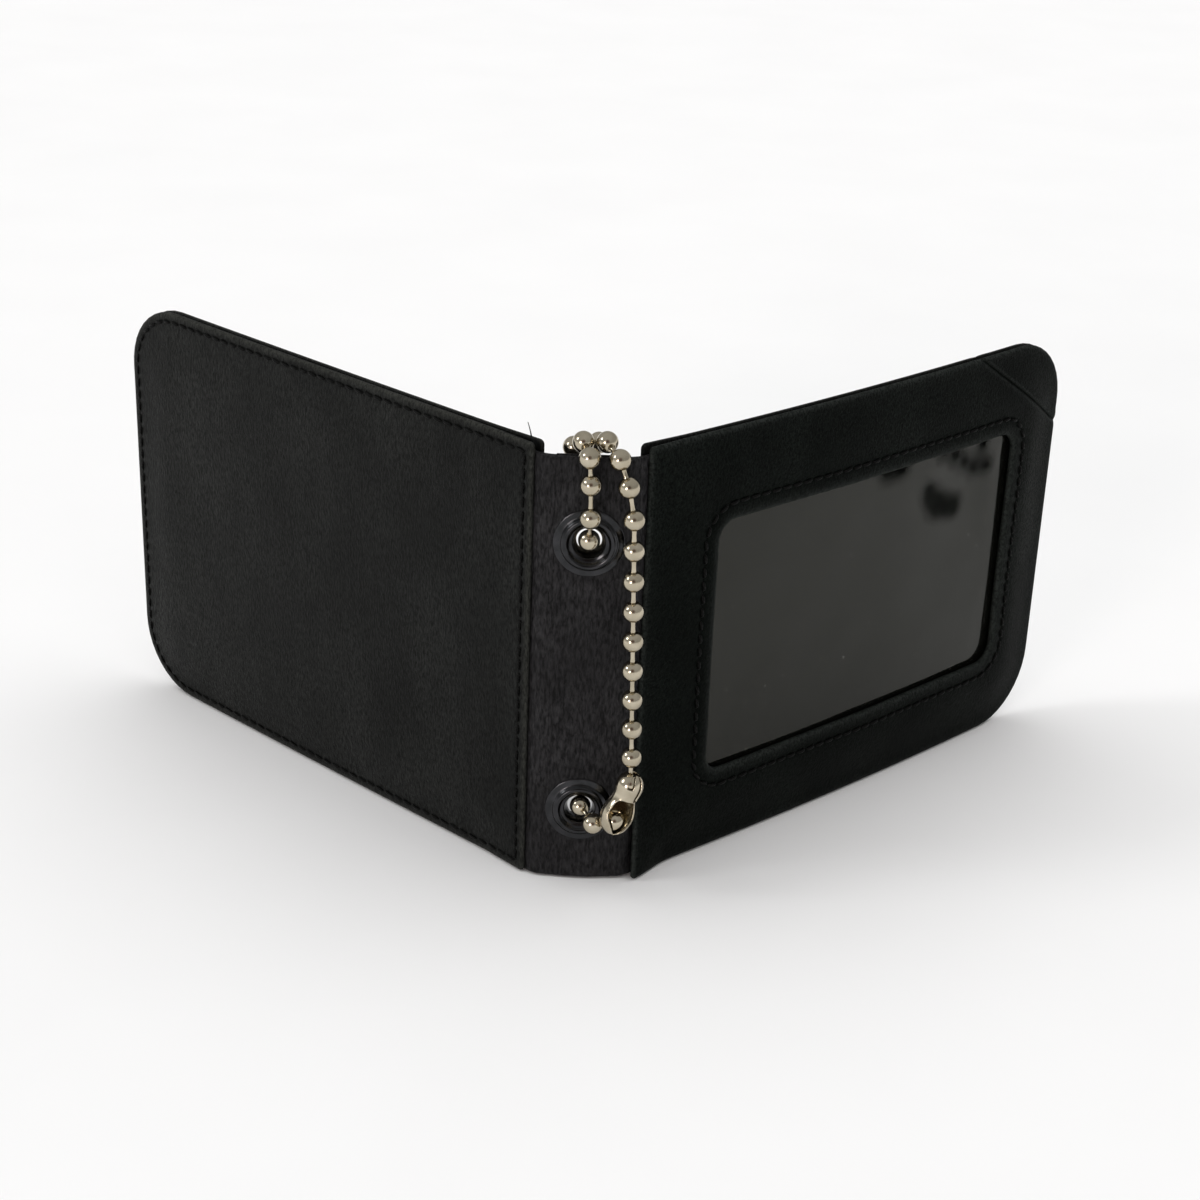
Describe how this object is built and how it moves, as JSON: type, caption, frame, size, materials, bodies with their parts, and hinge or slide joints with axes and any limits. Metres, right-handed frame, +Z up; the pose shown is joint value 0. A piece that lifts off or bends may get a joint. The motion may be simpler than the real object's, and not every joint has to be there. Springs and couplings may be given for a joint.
{
  "type": "id badge wallet",
  "caption": "Folding leather badge wallet with clear card windows, a magnetic snap and a ball chain through its spine.",
  "frame": {"origin": "middle of the spine's bottom edge, on the plane through both folds", "axes": "+Z up along the spine, +X towards the leaf with windows on both faces, +Y towards the inside of the wallet"},
  "size_m": [0.1582, 0.0733, 0.0721],
  "materials": {
    "leather": "semi-gloss, fine grain",
    "thread": "waxed twisted thread",
    "clear_vinyl": "clear, glossy",
    "divider_sheet": "smooth dark sheet",
    "pocket_lining": "matt non-woven with pale dots",
    "board": "matt board",
    "snap_metal": "polished nickel",
    "magnet": "bare sintered",
    "eyelet_black": "gloss black",
    "eyelet_nickel": "polished nickel",
    "chain_nickel": "polished nickel"
  },
  "bodies": {
    "spine": {"spine_outer": "leather", "spine_lining": "leather", "spine_lower_thread": "thread", "spine_upper_thread": "thread", "lower_eyelet": "eyelet_black", "upper_eyelet": "eyelet_black", "lower_eyelet_washer": "eyelet_nickel", "upper_eyelet_washer": "eyelet_nickel", "chain_beads": "chain_nickel", "chain_links": "chain_nickel", "chain_connector": "chain_nickel"},
    "left_leaf": {"left_outer_cover": "leather", "left_inner_frame": "leather", "left_spine_flange": "leather", "left_pocket_edge": "leather", "left_cover_thread": "thread", "left_frame_edge_thread": "thread", "left_window_thread": "thread", "left_window_sheet": "clear_vinyl", "left_pocket_lining": "pocket_lining", "left_stiffener": "board", "snap_socket_base": "snap_metal", "snap_socket_cover": "snap_metal", "snap_socket_washer": "snap_metal", "snap_magnet": "magnet"},
    "right_leaf": {"right_inner_frame": "leather", "right_inner_corner_patch": "leather", "right_outer_frame": "leather", "right_outer_corner_patch": "leather", "right_spine_flange": "leather", "right_inner_pocket_edge": "leather", "right_outer_pocket_edge": "leather", "right_inner_window_thread": "thread", "right_frame_edge_thread": "thread", "right_outer_window_thread": "thread", "right_inner_window_sheet": "clear_vinyl", "right_outer_window_sheet": "clear_vinyl", "right_divider_sheet": "divider_sheet", "right_divider_lining": "pocket_lining", "snap_stud": "snap_metal", "snap_stud_washer": "snap_metal"}
  },
  "joints": [
    {"name": "left_fold", "type": "hinge", "parent": "spine", "child": "left_leaf", "pos_m": [-0.0066, 0, 0], "axis": [0, 0, -1], "range_deg": [-42, 49.7]},
    {"name": "right_fold", "type": "hinge", "parent": "spine", "child": "right_leaf", "pos_m": [0.0066, 0, 0], "axis": [0, 0, 1], "range_deg": [-42, 49.7]}
  ]
}
